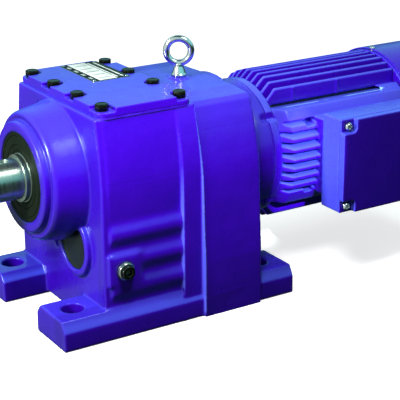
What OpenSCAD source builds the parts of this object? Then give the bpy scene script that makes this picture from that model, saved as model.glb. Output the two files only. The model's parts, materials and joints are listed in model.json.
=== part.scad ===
// Inline helical gear reducer with a flange-joined motor. Millimetres, +Z up.
// Origin: centre of the four foot holes on the base plane. The output shaft points along -X.

/* [Output shaft] */
// diameter of the free shaft end
shaft_d = 50; // [46:1:52]
// length of the free shaft end
shaft_l = 100; // [80:5:120]

/* [Feet] */
// hole spacing along the shaft
foot_x = 264; // [260:2:268]
// hole spacing across the shaft
foot_y = 170; // [164:2:174]
// through hole for the holding-down bolts
foot_hole_d = 28; // [20:1:30]

/* [Motor] */
// thickness of a cooling fin
fin_t = 4; // [3:0.5:5]
// depth of the terminal box without its lid
box_d = 35; // [30:1:45]
// length of the fan cowl
cowl_l = 76; // [74:2:90]

/* [View] */
// which piece is drawn

/* [Hidden] */
$fn = 96;
zo = 180;              // output axis height
zm = 166;              // motor axis height
mn2 = 2.75; n2p = 14; n2w = 51; a2 = 92;      // second stage
mn1 = 2.25; n1p = 15; n1w = 54; a1 = 80;      // first stage
// intermediate axis from the two centre distances
zi = (a1*a1 - a2*a2 + zo*zo - zm*zm)/(2*(zo - zm));
yi = -sqrt(a1*a1 - (zi - zm)*(zi - zm));
mt2 = 2*a2/(n2p + n2w); mt1 = 2*a1/(n1p + n1w);
be2 = acos(mn2/mt2);    be1 = acos(mn1/mt1);
r2p = mt2*n2p/2; r2w = mt2*n2w/2; r1p = mt1*n1p/2; r1w = mt1*n1w/2;
th_io = atan2(zo - zi, 0 - yi);   // intermediate axis towards output axis
th_mi = atan2(zi - zm, yi);       // motor axis towards intermediate axis
xg2 = -36; xg1 = 48;              // mid planes of the two meshes
bolt_x = [-87.6, 15.5]; bolt_y = [-92.4, -30.8, 30.8, 92.4];
box_x0 = 219; box_x1 = 345; box_z = 164; box_h = 123; pad_y = -104;
xs = -157;                         // output shaft shoulder

// ---------- helpers ----------
module cx(x0, x1, r) translate([x0, 0, 0]) rotate([0, 90, 0]) cylinder(h = x1 - x0, r = r);
module cone_x(x0, x1, ra, rb) translate([x0, 0, 0]) rotate([0, 90, 0]) cylinder(h = x1 - x0, r1 = ra, r2 = rb);
module tube(x0, x1, ro, ri) difference() { cx(x0, x1, ro); cx(x0 - 1, x1 + 1, ri); }
module ext(x0, x1) translate([x0, 0, 0]) rotate([90, 0, 90]) linear_extrude(x1 - x0) children();
module revx() rotate([0, -90, 0]) rotate_extrude() children();   // profile [radius, -x]
module out() translate([0, 0, zo]) children();
module mid() translate([0, yi, zi]) children();
module mot() translate([0, 0, zm]) children();
module box(a, b) translate(a) cube(b - a);
function both(p) = concat(p, [for (i = [len(p) - 1:-1:0]) [-p[i][0], p[i][1]]]);
// rounded rectangle prism along Z
module rbox(x, y, z, r) { box([-x/2 + r, -y/2, 0], [x/2 - r, y/2, z]); box([-x/2, -y/2 + r, 0], [x/2, y/2 - r, z]);
  for (i = [-1, 1], j = [-1, 1]) translate([i*(x/2 - r), j*(y/2 - r), 0]) cylinder(h = z, r = r); }

// involute tooth form
function invd(rb, r) = r <= rb ? 0 : sqrt(r*r/(rb*rb) - 1)*180/PI - acos(rb/r);
function tooth(i, z, r, rb, ro, rr, hp, up) = let(c = i*360/z, a = [for (q = [rb, rb + 0.5*(ro - rb), ro]) hp + invd(rb, r) - invd(rb, q)])
  [[rr, c - a[0] - up], [rb, c - a[0]], [rb + 0.5*(ro - rb), c - a[1]], [ro, c - a[2]],
   [ro, c + a[2]], [rb + 0.5*(ro - rb), c + a[1]], [rb, c + a[0]], [rr, c + a[0] + up]];
function polar(l) = [for (p = l) [p[0]*cos(p[1]), p[0]*sin(p[1])]];
// z teeth, pitch radius r, transverse pressure angle at, normal module mn
module gear2d(z, r, mn, at, up) { hp = 90/z - 0.2*180/PI/r/2;
  rb0 = r*cos(at); rr = r - 1.2*mn; rb = max(rb0, rr + 0.15);
  polygon([for (i = [0:z - 1]) each polar(tooth(i, z, r, rb, r + 0.88*mn, rr, hp, up))]); }
// helical toothed prism, mid plane at x, tooth centre at angle ph from +Y towards +Z
module helix(x, w, z, r, mn, be, hand, ph, sl, up) { tw = hand*w*tan(be)/r*180/PI;
  translate([x - w/2, 0, 0]) rotate([90, 0, 90]) rotate(ph + tw/2)
    linear_extrude(height = w, twist = tw, slices = sl, convexity = 4) gear2d(z, r, mn, atan(tan(20)/cos(be)), up); }

// deep-groove ball bearing: bore d, outside D, width w, front face at x
function bp(d, D) = (d + D)/4;            // pitch radius
function bb(d, D) = (D - d)*0.15;         // ball radius
module b_outer(x, d, D, w) revx() difference() { translate([bp(d, D) + 0.55*bb(d, D), -x - w]) square([D/2 - bp(d, D) - 0.55*bb(d, D), w]);
  translate([bp(d, D), -x - w/2]) circle(r = bb(d, D)); }
module b_inner(x, d, D, w) revx() difference() { translate([d/2, -x - w]) square([bp(d, D) - 0.55*bb(d, D) - d/2, w]);
  translate([bp(d, D), -x - w/2]) circle(r = bb(d, D)); }
module b_balls(x, d, D, w, n) { tube(x + w*0.25, x + w*0.75, bp(d, D) + 0.3*bb(d, D), bp(d, D) - 0.3*bb(d, D));
  for (i = [0:n - 1]) rotate([i*360/n, 0, 0]) translate([x + w/2, 0, bp(d, D)]) sphere(r = bb(d, D) - 0.03); }
module hexh(af, h) cylinder(h = h, r = af/sqrt(3), $fn = 6);

// ---------- gear housing ----------
// half width of the ribbed wall at height z
function wave(z) = 113 + (z > 42 && z < 144 ? 2.6*(1 - cos(360*(z - 42)/34)) : 0);
secA = both(concat([[114, 3], [114, 36]], [for (z = [42:3.4:144.1]) [wave(z), z]], [[115, 190], [110, 233], [104, 268]]));
secP = both([[113, 3], [113, 190], [108.5, 233], [102.5, 268]]);
secB = both([[119.5, 3], [119.5, 195], [113, 233], [104, 268]]);
secC = both([[120, 3], [120, 24], [126, 24], [126, 70], [123, 120], [121, 183], [116.5, 205], [109.5, 234], [99, 262], [94, 266.5], [60, 269.8], [0, 271]]);
inA = both([[104, 14], [104, 195], [97, 233], [92, 252]]);
inC = both([[111.5, 14], [111.5, 190], [101, 233], [88, 254]]);
foot = [[-123, 0], [-123, 23], [-115, 37], [-57, 37], [-48, 27], [-47, 0]];
function boss_prof() = [[0, 90], [86, 90], [86, 104], [80, 137], [79, 141], [76, 144.5], [72.5, 145.5], [72, 143], [68.5, 143], [68.2, 150.5], [66.5, 153], [0, 153]];

module plug_axis(p, s) translate(p) rotate([s*90, 0, 0]) children();
oil_p = [-77, -119, 84]; drain_p = [60, 128, 48]; vent_p = [-45, 118, 172];

module gear_housing() color([0.20, 0.03, 0.72]) difference() {
  union() {
    ext(-102.5, -94) polygon(secP);
    ext(-94, 3) polygon(secA);
    ext(3, 29) polygon(secB);
    ext(29, 113) polygon(secC);
    for (s = [0, 1]) mirror([0, s, 0]) ext(29, 47) polygon([[100, 0], [100, 26], [126.5, 26], [126.5, 0]]);
    for (s = [0, 1]) mirror([0, s, 0]) ext(-162, 164) polygon(foot);
    // output bearing boss and lower bearing boss
    out() revx() polygon(boss_prof());
    mid() revx() polygon([[0, 78], [39, 78], [40, 102], [40, 108.2], [38.8, 109.5], [0, 109.5]]);
    // pads round the plugs
    box([-98, -119, 64], [-55, -100, 104]);
    plug_axis([-45, 106, 172], 1) mirror([0, 0, 1]) cylinder(h = 12, r = 16);
    plug_axis([60, 116, 48], 1) mirror([0, 0, 1]) cylinder(h = 12, r = 16);
    // seat of the lifting eye
    translate([71, 0, 262]) cylinder(h = 11, r = 14);
  }
  // gear chambers
  difference() { ext(-92.5, 3) polygon(inA); mid() cx(-94, -78, 38); }
  ext(26, 99) polygon(inC);
  box([-79, -82, 240], [3, 82, 269]);
  // passages in the middle wall
  translate([0, 62, 70]) cx(2, 27, 24);
  translate([0, -62, 214]) cx(2, 27, 15);
  // bearing seats and their clearance bores
  out() { cx(-154, -114, 55); cx(-115, -92, 50); cx(3, 23, 45); cx(22, 27, 40); }
  mid() { cx(-112, -83, 31); cx(-84, -77, 27.5); cx(4, 23, 36); cx(22, 27, 32); cx(2, 5, 36); }
  mot() cx(98, 114, 86);
  // foot holes
  for (i = [-1, 1], j = [-1, 1]) translate([i*foot_x/2, j*foot_y/2, -1]) cylinder(h = 40, d = foot_hole_d);
  // tapped holes
  for (x = bolt_x, y = bolt_y) translate([x, y, 254]) cylinder(h = 15, r = 4);
  mot() for (k = [0:3]) rotate([45 + 90*k, 0, 0]) translate([0, 0, 95]) cx(101, 114, 4);
  translate([71, 0, 258]) cylinder(h = 16, r = 4);
  plug_axis(oil_p, 1) mirror([0, 0, 1]) translate([0, 0, -1]) cylinder(h = 18, r = 8);
  plug_axis([-45, 119, 172], 1) translate([0, 0, -1]) cylinder(h = 17, r = 8);
  plug_axis([60, 129, 48], 1) translate([0, 0, -1]) cylinder(h = 19, r = 8);
  // small blind hole low on the output face
  translate([0, 13, 81]) cx(-104, -97, 5);
}

// ---------- top cover ----------
module cover_outline(m) { square([125 - 2*m, 190], center = true); square([103, 212 - 2*m], center = true);
  for (i = [-1, 1], j = [-1, 1]) translate([i*51.5, j*95]) circle(r = 11 - m); }
module inspection_cover() color([0.33, 0.36, 0.98]) difference() {
  union() {
    translate([-36, 0, 269]) linear_extrude(6) cover_outline(0);
    translate([-36, 0, 274]) linear_extrude(6) cover_outline(0);
  }
  for (i = [0, 1], y = bolt_y) translate([bolt_x[i], y, 0]) { translate([0, 0, 275]) cylinder(h = 6, r = 11);
    translate([0, 0, 275]) mirror([1 - i, 0, 0]) box([0, -11, 0], [14, 11, 6]);
    translate([0, 0, 260]) cylinder(h = 20, r = 4.5); }
  for (i = [0, 1], j = [-1, 1]) translate([bolt_x[i], j*92.4, 275]) mirror([0, j < 0 ? 1 : 0, 0]) box([-11, 0, 0], [11, 16, 6]);
  box([-76, -78, 268], [0, 78, 274.5]);
  // screw holes of the rating plate
  for (i = [-1, 1], j = [-1, 1]) translate([-20 + i*22.5, 53.5 + j*42.5, 272]) cylinder(h = 9, r = 1.4);
}
module cover_gasket() color([0.10, 0.10, 0.11]) translate([-36, 0, 268]) difference() {
  linear_extrude(1) cover_outline(0.4);
  box([-43, -82, -1], [39, 82, 2]);
  for (x = bolt_x, y = bolt_y) translate([x + 36, y, -1]) cylinder(h = 4, r = 4.5);
}
module flange_bolt(r, af, l, k) { translate([0, 0, -l]) cylinder(h = l, r = r); cylinder(h = 1.6, r = af*0.66);
  translate([0, 0, 1.5]) hexh(af, k); translate([0, 0, 1.5 + k]) cylinder(h = 0.4, r = af*0.42); }
module cover_bolts() color([0.05, 0.06, 0.05]) for (x = bolt_x, y = bolt_y) translate([x, y, 275]) flange_bolt(4, 14, 20, 6.5);
module nameplate() color([0.80, 0.84, 0.80]) translate([-20, 53.5, 280]) difference() { rbox(52, 93, 1, 2);
  for (i = [-1, 1], j = [-1, 1]) translate([i*22.5, j*42.5, -1]) cylinder(h = 3, r = 1.4); }
module nameplate_rivets() color([0.72, 0.72, 0.74]) for (i = [-1, 1], j = [-1, 1]) translate([-20 + i*22.5, 53.5 + j*42.5, 281]) {
  cylinder(h = 0.7, r = 2.3); translate([0, 0, -7]) cylinder(h = 7.5, r = 1.4); }
module lifting_eye_bolt() color([0.80, 0.82, 0.82]) translate([71, 0, 273]) {
  translate([0, 0, -13]) cylinder(h = 13.5, r = 4);
  cylinder(h = 3, r = 9.8); translate([0, 0, 3]) cylinder(h = 12, r1 = 9.2, r2 = 5);
  translate([0, 0, 32.2]) rotate([0, 0, -31.8]) rotate([90, 0, 0]) rotate_extrude() translate([15.5, 0]) circle(r = 4.3);
}
module oil_level_plug() color([0.06, 0.07, 0.05]) plug_axis(oil_p, 1) difference() {
  union() { translate([0, 0, -14]) cylinder(h = 15.5, r = 8); translate([0, 0, 1.5]) cylinder(h = 3, r = 10.5); translate([0, 0, 4.5]) hexh(16, 5); }
  translate([0, 0, 6]) cylinder(h = 5, r = 4.5); }
module oil_drain_plug() color([0.06, 0.07, 0.05]) plug_axis([60, 128, 48], -1) { translate([0, 0, -14]) cylinder(h = 15.5, r = 8);
  translate([0, 0, 1.5]) cylinder(h = 3, r = 12.5); translate([0, 0, 4.5]) hexh(17, 8); }
module breather_valve() color([0.62, 0.50, 0.22]) plug_axis([-45, 118, 172], -1) { translate([0, 0, -13]) cylinder(h = 14.5, r = 8);
  translate([0, 0, 1.5]) hexh(22, 7); translate([0, 0, 8.5]) cylinder(h = 3, r = 5); translate([0, 0, 11]) cylinder(h = 7, r = 9.5); }
module plug_sealing_rings() color([0.75, 0.76, 0.74]) {
  plug_axis(oil_p, 1) difference() { cylinder(h = 1.5, r = 11.5); translate([0, 0, -1]) cylinder(h = 4, r = 8); }
  plug_axis([60, 128, 48], -1) difference() { cylinder(h = 1.5, r = 13); translate([0, 0, -1]) cylinder(h = 4, r = 8); }
  plug_axis([-45, 118, 172], -1) difference() { cylinder(h = 1.5, r = 13); translate([0, 0, -1]) cylinder(h = 4, r = 8); } }
module closing_cap() color([0.09, 0.15, 0.09]) mid() revx() polygon([[0, 104.5], [29, 104.5], [29, 100], [31, 100], [31, 106.2], [29.6, 107.2], [0, 107.2]]);
module output_oil_seal() color([0.07, 0.10, 0.07]) out() revx()
  polygon([[55, 139.5], [55, 150.8], [54.3, 151.5], [34, 151.5], [32, 150.6], [30.05, 150.6], [30.05, 149], [33, 147.5], [33, 144], [30.05, 142.5], [30.05, 140.5], [34, 139.5]]);

// ---------- bearings ----------
module output_front_bearing_outer() color([0.70, 0.71, 0.73]) out() b_outer(-136, 60, 110, 22);
module output_rear_bearing_outer() color([0.70, 0.71, 0.73]) out() b_outer(3, 50, 90, 20);
module intermediate_front_bearing_outer() color([0.70, 0.71, 0.73]) mid() b_outer(-100, 25, 62, 17);
module intermediate_rear_bearing_outer() color([0.70, 0.71, 0.73]) mid() b_outer(4, 30, 72, 19);
module motor_front_bearing_outer() color([0.70, 0.71, 0.73]) mot() b_outer(114, 40, 80, 18);
module motor_rear_bearing_outer() color([0.70, 0.71, 0.73]) mot() b_outer(368, 30, 62, 16);
module output_front_bearing_inner() color([0.74, 0.75, 0.77]) out() b_inner(-136, 60, 110, 22);
module output_rear_bearing_inner() color([0.74, 0.75, 0.77]) out() b_inner(3, 50, 90, 20);
module intermediate_front_bearing_inner() color([0.74, 0.75, 0.77]) mid() b_inner(-100, 25, 62, 17);
module intermediate_rear_bearing_inner() color([0.74, 0.75, 0.77]) mid() b_inner(4, 30, 72, 19);
module motor_front_bearing_inner() color([0.74, 0.75, 0.77]) mot() b_inner(114, 40, 80, 18);
module motor_rear_bearing_inner() color([0.74, 0.75, 0.77]) mot() b_inner(368, 30, 62, 16);
module output_front_ball_set() color([0.82, 0.70, 0.38]) out() b_balls(-136, 60, 110, 22, 10);
module output_rear_ball_set() color([0.82, 0.70, 0.38]) out() b_balls(3, 50, 90, 20, 10);
module intermediate_front_ball_set() color([0.82, 0.70, 0.38]) mid() b_balls(-100, 25, 62, 17, 7);
module intermediate_rear_ball_set() color([0.82, 0.70, 0.38]) mid() b_balls(4, 30, 72, 19, 8);
module motor_front_ball_set() color([0.82, 0.70, 0.38]) mot() b_balls(114, 40, 80, 18, 9);
module motor_rear_ball_set() color([0.82, 0.70, 0.38]) mot() b_balls(368, 30, 62, 16, 8);

// ---------- output shaft group ----------
module output_shaft() color([0.62, 0.66, 0.64]) out() difference() {
  union() {
    rotate([37.5, 0, 0]) { cone_x(xs - shaft_l, xs - shaft_l + 2, shaft_d/2 - 2, shaft_d/2); cx(xs - shaft_l + 2, xs, shaft_d/2); }
    cx(xs, -151.2, 29); cx(-151.2, -114, 30); cx(-114, -58, 36); cx(-58, 3, 31); cx(3, 25, 25);
  }
  // keyways, retaining ring groove and the centre hole
  translate([xs - shaft_l/2, 0, shaft_d/2 - 5.5]) { box([-33, -7, 0], [33, 7, 9]); for (i = [-33, 33]) translate([i, 0, 0]) cylinder(h = 9, r = 7); }
  translate([-36, 0, 24]) { box([-12, -9, 0], [12, 9, 11]); for (i = [-12, 12]) translate([i, 0, 0]) cylinder(h = 11, r = 9); }
  difference() { cx(-14, -11.4, 34); cx(-15, -10, 29.2); }
  cx(xs - shaft_l - 1, xs - shaft_l + 36, 8); cone_x(xs - shaft_l - 0.1, xs - shaft_l + 3.4, 11.5, 8);
}
module output_wheel() color([0.55, 0.56, 0.58]) out() difference() {
  helix(xg2, 44, n2w, r2w, mn2, be2, 1, th_io + 180 + 180/n2w, 2, 0);
  cx(-60, -12, 31);
  difference() { cx(-59, -46, 60); cx(-60, -45, 43); }
  difference() { cx(-26, -13, 60); cx(-27, -12, 43); }
  translate([-60, 0, 24]) box([0, -9, 0], [48, 9, 11.4]);
}
module output_wheel_key() color([0.55, 0.57, 0.56]) translate([-36, 0, zo + 24]) { box([-12, -9, 0], [12, 9, 11]); for (i = [-12, 12]) translate([i, 0, 0]) cylinder(h = 11, r = 9); }
module output_circlip() color([0.25, 0.26, 0.28]) out() difference() { cx(-14, -11.5, 35); cx(-15, -10, 29.2); box([-16, -5, -40], [-9, 5, 0]); }

// ---------- intermediate group ----------
module intermediate_pinion_shaft() color([0.60, 0.61, 0.63]) mid() difference() {
  union() {
    cone_x(-100, -99, 11.5, 12.5); cx(-99, -83, 12.5); cx(-83, -61, 16); helix(xg2, 52, n2p, r2p, mn2, be2, -1, th_io, 5, -0.5);
    cx(-11, 4, 18); cx(4, 33, 15); cx(33, 66.5, 14); cone_x(66.5, 67.5, 14, 13); }
  translate([47, 0, 9.5]) { box([-9, -4, 0], [9, 4, 7]); for (i = [-9, 9]) translate([i, 0, 0]) cylinder(h = 7, r = 4); }
  difference() { cx(63, 64.6, 18); cx(62, 66, 13.2); }
}
module intermediate_wheel() color([0.55, 0.56, 0.58]) mid() difference() {
  helix(xg1, 30, n1w, r1w, mn1, be1, 1, th_mi + 180 + 180/n1w, 2, 0);
  cx(30, 66, 14);
  difference() { cx(32, 39, 51); cx(31, 40, 24); }
  difference() { cx(57, 64, 51); cx(56, 65, 24); }
  translate([32, 0, 9.5]) box([0, -4, 0], [32, 4, 7.3]);
}
module intermediate_wheel_key() color([0.55, 0.57, 0.56]) mid() translate([47, 0, 9.5]) { box([-9, -4, 0], [9, 4, 7]); for (i = [-9, 9]) translate([i, 0, 0]) cylinder(h = 7, r = 4); }
module intermediate_circlip() color([0.25, 0.26, 0.28]) mid() difference() { cx(63, 64.5, 16.5); cx(62, 66, 13.2); box([62, -3, -20], [66, 3, 0]); }

// ---------- motor rotor group ----------
module rotor_shaft() color([0.60, 0.62, 0.63]) mot() difference() {
  union() { cone_x(31, 32, 9, 10); cx(32, 65, 10); cx(65, 104, 17); cx(104, 132, 20); cx(132, 170, 23); cx(170, 330, 24);
    cx(330, 368, 20); cx(368, 398, 15); cx(398, 434, 13); cone_x(434, 435, 13, 12); }
  translate([48, 0, 7]) box([-10, -3, 0], [10, 3, 4]);
}
module motor_pinion() color([0.55, 0.56, 0.58]) mot() difference() {
  helix(xg1, 34, n1p, r1p, mn1, be1, -1, th_mi, 4, -0.5);
  cx(30, 66, 10);
}
module rotor_core() color([0.50, 0.52, 0.55]) mot() difference() {
  union() { cx(180, 320, 47); tube(168, 181, 43, 30); tube(319, 332, 43, 30); }
  cx(160, 340, 24);
}
module cooling_fan() color([0.10, 0.10, 0.12]) mot() difference() {
  union() { cx(400, 422, 21); tube(400, 403, 84, 20); for (k = [0:6]) rotate([k*360/7, 0, 0]) box([401, -1.5, 18], [426, 1.5, 84]); }
  cx(399, 428, 13);
}

// ---------- motor stator group ----------
module corners() for (k = [0:3]) rotate([45 + 90*k, 0, 0]) children();
module motor_flange() color([0.30, 0.36, 0.98]) mot() difference() {
  union() { cx(105, 113, 86); cx(113, 122, 104); revx() polygon([[0, -158], [0, -120], [83, -120], [83, -128], [88, -137], [90, -155], [89, -158]]); }
  difference() { cx(122, 159, 77); cx(121, 134, 50); }
  cx(104, 113, 31); cx(112, 115, 34); cx(114, 135, 40);
  corners() translate([0, 0, 95]) cx(112, 123, 4.5);
  channels(148, 160);
}
module flange_bolts() color([0.10, 0.10, 0.11]) mot() corners() translate([122, 0, 95]) rotate([0, 90, 0]) flange_bolt(4, 13, 20, 6);
module input_oil_seal() color([0.07, 0.10, 0.07]) mot() revx()
  polygon([[31, -112.5], [31, -105.5], [22, -105.5], [20.05, -106.5], [20.05, -108], [23, -109], [23, -111.5], [27, -112.5]]);
module plates() { for (k = [-4:4]) { box([160, k*12.4 - fin_t/2, -98.5], [376, k*12.4 + fin_t/2, 98.5]);
    ext(160, 376) polygon([[-98.5, k*12.7 - fin_t/2], [-98.5, k*12.7 + fin_t/2], [-76, k*12.7 + fin_t/2 + 7],
      [76, k*12.7 + fin_t/2 + 7], [98.5, k*12.7 + fin_t/2], [98.5, k*12.7 - fin_t/2]]); }
  for (s = [0, 1]) mirror([0, 0, s]) box([160, -98.5, 48], [376, 98.5, 62.8]);
  for (x = [210, 281], s = [0, 1]) mirror([0, s, 0]) box([x - 1.2, -52.4, 60], [x + 1.2, -51, 82]); }
// channels for the tie bolts at the front of the four corners
module channels(x0, x1) for (s = [0, 1], t = [0, 1]) mirror([0, s, 0]) mirror([0, 0, t]) box([x0, -75, 50.5], [x1, -66, 70]);
module stator_frame() color([0.28, 0.30, 0.95]) mot() difference() {
  union() {
    intersection() { plates(); revx() polygon([[0, -160], [86, -160], [86, -169], [98, -182], [98, -376], [0, -376]]); }
    cx(158, 376, 80); cx(158, 169, 89.5); cx(152, 159, 77);
    for (k = [0:3]) rotate([45 + 90*k, 0, 0]) translate([0, 0, 84]) cx(346, 376, 8);
    box([222, pad_y, -50], [338, -60, 50]);
  }
  cx(157, 377, 74); cx(150, 160, 71);
  channels(150, 170);
  // slots at the foot of the outermost upright fins
  for (s = [0, 1], t = [0, 1]) mirror([0, s, 0]) mirror([0, 0, t]) box([176, -62, 60], [364, -47, 64]);
  // pockets in the fin pack ahead of the terminal box
  for (s = [0, 1]) mirror([0, 0, s]) box([206, -99, 40.5], [219, -68, 49.5]);
  // wire passage
  translate([280, pad_y - 1, 0]) rotate([-90, 0, 0]) cylinder(h = 40, r = 14);
  corners() translate([0, 0, 86]) cx(354, 377, 3);
}
module slots(r0, r1, w, x0, x1) for (k = [0:23]) rotate([k*15, 0, 0]) box([x0, -w/2, r0], [x1, w/2, r1]);
module stator_core() color([0.42, 0.43, 0.46]) mot() difference() { tube(180, 320, 74, 47.6); slots(50.5, 66.5, 7, 178, 322); }
module stator_windings() color([0.72, 0.36, 0.14]) mot() { tube(164, 178.5, 68, 52); tube(321.5, 338, 68, 52); slots(53, 65.5, 6, 178, 322); }
module rear_end_shield() color([0.28, 0.30, 0.95]) mot() difference() {
  union() { cx(376, 384, 98.3); cx(370, 377, 74); cx(364, 388, 40); }
  difference() { cx(369, 377, 68); cx(368, 378, 42); }
  cx(363, 390, 21.5); cx(368, 384, 31);
  corners() translate([0, 0, 86]) cx(370, 385, 3.3);
  for (k = [0:3]) rotate([90*k, 0, 0]) translate([380.5, 0, 84]) cylinder(h = 16, r = 2);
}
module end_shield_screws() color([0.10, 0.10, 0.11]) mot() corners() translate([384, 0, 86]) rotate([0, 90, 0]) {
  translate([0, 0, -28]) cylinder(h = 28, r = 3); hexh(10, 4); }
module fan_cowl() color([0.26, 0.28, 0.92]) mot() difference() {
  union() { tube(378, 378 + cowl_l, 101, 99); cx(376 + cowl_l, 378 + cowl_l, 100); }
  for (r = [26, 40, 54, 68, 82]) difference() { cx(370 + cowl_l, 380 + cowl_l, r + 5); cx(369 + cowl_l, 381 + cowl_l, r - 4);
    for (k = [0:2]) rotate([k*60, 0, 0]) box([368 + cowl_l, -4, -99], [382 + cowl_l, 4, 99]); }
  for (k = [0:3]) rotate([90*k, 0, 0]) translate([380.5, 0, 90]) cylinder(h = 16, r = 2.2);
}
module cowl_screws() color([0.62, 0.63, 0.65]) mot() for (k = [0:3]) rotate([90*k, 0, 0]) translate([380.5, 0, 101]) {
  translate([0, 0, -14]) cylinder(h = 14.5, r = 2); cylinder(h = 2.6, r = 4); }

// ---------- terminal box ----------
bx = (box_x0 + box_x1)/2; yb = pad_y - box_d; hx = (box_x1 - box_x0)/2; hz = box_h/2;
module tb() translate([bx, 0, box_z]) children();
module terminal_box() color([0.30, 0.33, 0.97]) tb() difference() {
  box([-hx, yb, -hz], [hx, pad_y, hz]);
  difference() { box([-hx + 4, yb - 1, -hz + 4], [hx - 4, pad_y - 5, hz - 4]);
    for (i = [-1, 1], j = [-1, 1]) translate([i*(hx - 10), 0, j*(hz - 9)]) box([-8, yb - 2, -8], [8, pad_y, 8]); }
  translate([280 - bx, pad_y - 6, 2]) rotate([-90, 0, 0]) cylinder(h = 8, r = 14);
  translate([hx - 6, yb + 18, -26]) rotate([0, 90, 0]) cylinder(h = 8, r = 12);
  for (i = [-1, 1], j = [-1, 1]) translate([i*(hx - 10), yb - 1, j*(hz - 9)]) rotate([-90, 0, 0]) cylinder(h = 20, r = 2.5);
}
module terminal_box_lid() color([0.16, 0.05, 0.55]) tb() difference() {
  box([-hx, yb - 11, -hz], [hx, yb, hz]);
  box([-hx + 21, yb - 8, -hz + 5], [hx - 21, yb + 1, hz - 5]);
  for (i = [0, 1], j = [0, 1]) mirror([i, 0, 0]) mirror([0, 0, j]) translate([hx, yb - 12, hz]) {
    box([-20, 0, -11], [1, 8, 1]); box([-14, 0, -17], [1, 8, 1]); translate([-14, 0, -11]) rotate([-90, 0, 0]) cylinder(h = 8, r = 6);
    translate([-10, 0, -9]) rotate([-90, 0, 0]) cylinder(h = 20, r = 2.8); }
}
module lid_screws() color([0.82, 0.83, 0.84]) tb() for (i = [-1, 1], j = [-1, 1]) translate([i*(hx - 10), yb - 4, j*(hz - 9)]) rotate([90, 0, 0])
  difference() { union() { translate([0, 0, -20]) cylinder(h = 20.5, r = 2.5); cylinder(h = 3, r = 5.2); translate([0, 0, 3]) cylinder(h = 1.5, r1 = 5.2, r2 = 3.6); }
    box([-6, -0.6, 3], [6, 0.6, 6]); box([-0.6, -6, 3], [0.6, 6, 6]); }
module terminal_board() color([0.20, 0.11, 0.07]) tb() difference() { box([-22, pad_y - 15, -30], [22, pad_y - 5, 30]);
  for (i = [-1:1], j = [-1, 1]) translate([i*14, pad_y - 16, j*11]) rotate([-90, 0, 0]) cylinder(h = 9, r = 2.5); }
module terminal_studs() color([0.80, 0.62, 0.25]) tb() for (i = [-1:1], j = [-1, 1]) translate([i*14, pad_y - 15, j*11]) rotate([90, 0, 0]) {
  translate([0, 0, -7.9]) cylinder(h = 21.9, r = 2.5); hexh(8, 3.5); translate([0, 0, 6]) hexh(8, 3.5); }
module cable_gland() color([0.12, 0.12, 0.13]) tb() translate([hx, yb + 18, -26]) rotate([0, 90, 0]) difference() {
  union() { translate([0, 0, -5]) cylinder(h = 5, r = 12); hexh(30, 7); translate([0, 0, 7]) cylinder(h = 3, r = 12.5); translate([0, 0, 10]) hexh(27, 9);
    translate([0, 0, 19]) cylinder(h = 5, r1 = 13, r2 = 9); }
  translate([0, 0, 4]) cylinder(h = 21, r = 6);
}

gear_housing();
inspection_cover();
cover_gasket();
cover_bolts();
nameplate();
nameplate_rivets();
lifting_eye_bolt();
oil_level_plug();
oil_drain_plug();
breather_valve();
plug_sealing_rings();
closing_cap();
output_oil_seal();
output_front_bearing_outer();
output_rear_bearing_outer();
intermediate_front_bearing_outer();
intermediate_rear_bearing_outer();
motor_flange();
flange_bolts();
input_oil_seal();
motor_front_bearing_outer();
motor_rear_bearing_outer();
stator_frame();
stator_core();
stator_windings();
rear_end_shield();
end_shield_screws();
fan_cowl();
cowl_screws();
terminal_box();
terminal_box_lid();
lid_screws();
terminal_board();
terminal_studs();
cable_gland();
output_shaft();
output_wheel();
output_wheel_key();
output_circlip();
output_front_bearing_inner();
output_rear_bearing_inner();
output_front_ball_set();
output_rear_ball_set();
intermediate_pinion_shaft();
intermediate_wheel();
intermediate_wheel_key();
intermediate_circlip();
intermediate_front_bearing_inner();
intermediate_rear_bearing_inner();
intermediate_front_ball_set();
intermediate_rear_ball_set();
rotor_shaft();
motor_pinion();
rotor_core();
motor_front_bearing_inner();
motor_rear_bearing_inner();
motor_front_ball_set();
motor_rear_ball_set();
cooling_fan();
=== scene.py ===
import bpy, bmesh, json, math
import numpy as np
from mathutils import Vector, Matrix


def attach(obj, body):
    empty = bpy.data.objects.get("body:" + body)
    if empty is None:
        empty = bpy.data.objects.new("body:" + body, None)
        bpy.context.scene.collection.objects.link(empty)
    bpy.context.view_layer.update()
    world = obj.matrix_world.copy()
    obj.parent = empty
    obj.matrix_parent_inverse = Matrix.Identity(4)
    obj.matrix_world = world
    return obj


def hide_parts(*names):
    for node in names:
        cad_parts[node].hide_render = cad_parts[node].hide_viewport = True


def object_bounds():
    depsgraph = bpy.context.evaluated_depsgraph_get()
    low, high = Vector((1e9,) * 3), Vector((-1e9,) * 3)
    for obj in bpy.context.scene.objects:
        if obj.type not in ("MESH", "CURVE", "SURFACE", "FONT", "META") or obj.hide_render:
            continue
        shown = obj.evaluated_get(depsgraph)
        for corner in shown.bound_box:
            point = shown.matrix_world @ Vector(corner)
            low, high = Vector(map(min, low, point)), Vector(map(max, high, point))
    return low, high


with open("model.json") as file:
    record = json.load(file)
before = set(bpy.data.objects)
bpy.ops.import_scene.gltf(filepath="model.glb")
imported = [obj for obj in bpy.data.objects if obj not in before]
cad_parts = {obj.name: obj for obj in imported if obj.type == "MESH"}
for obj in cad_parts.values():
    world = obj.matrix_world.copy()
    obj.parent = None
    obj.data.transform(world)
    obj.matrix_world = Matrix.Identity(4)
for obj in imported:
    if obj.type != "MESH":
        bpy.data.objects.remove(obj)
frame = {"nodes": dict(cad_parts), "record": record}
CAD_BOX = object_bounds()
N = frame["nodes"]
REC = frame["record"]
BODY = {n: b for b, ns in REC["behaviour"]["bodies"].items() for n in ns}
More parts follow.
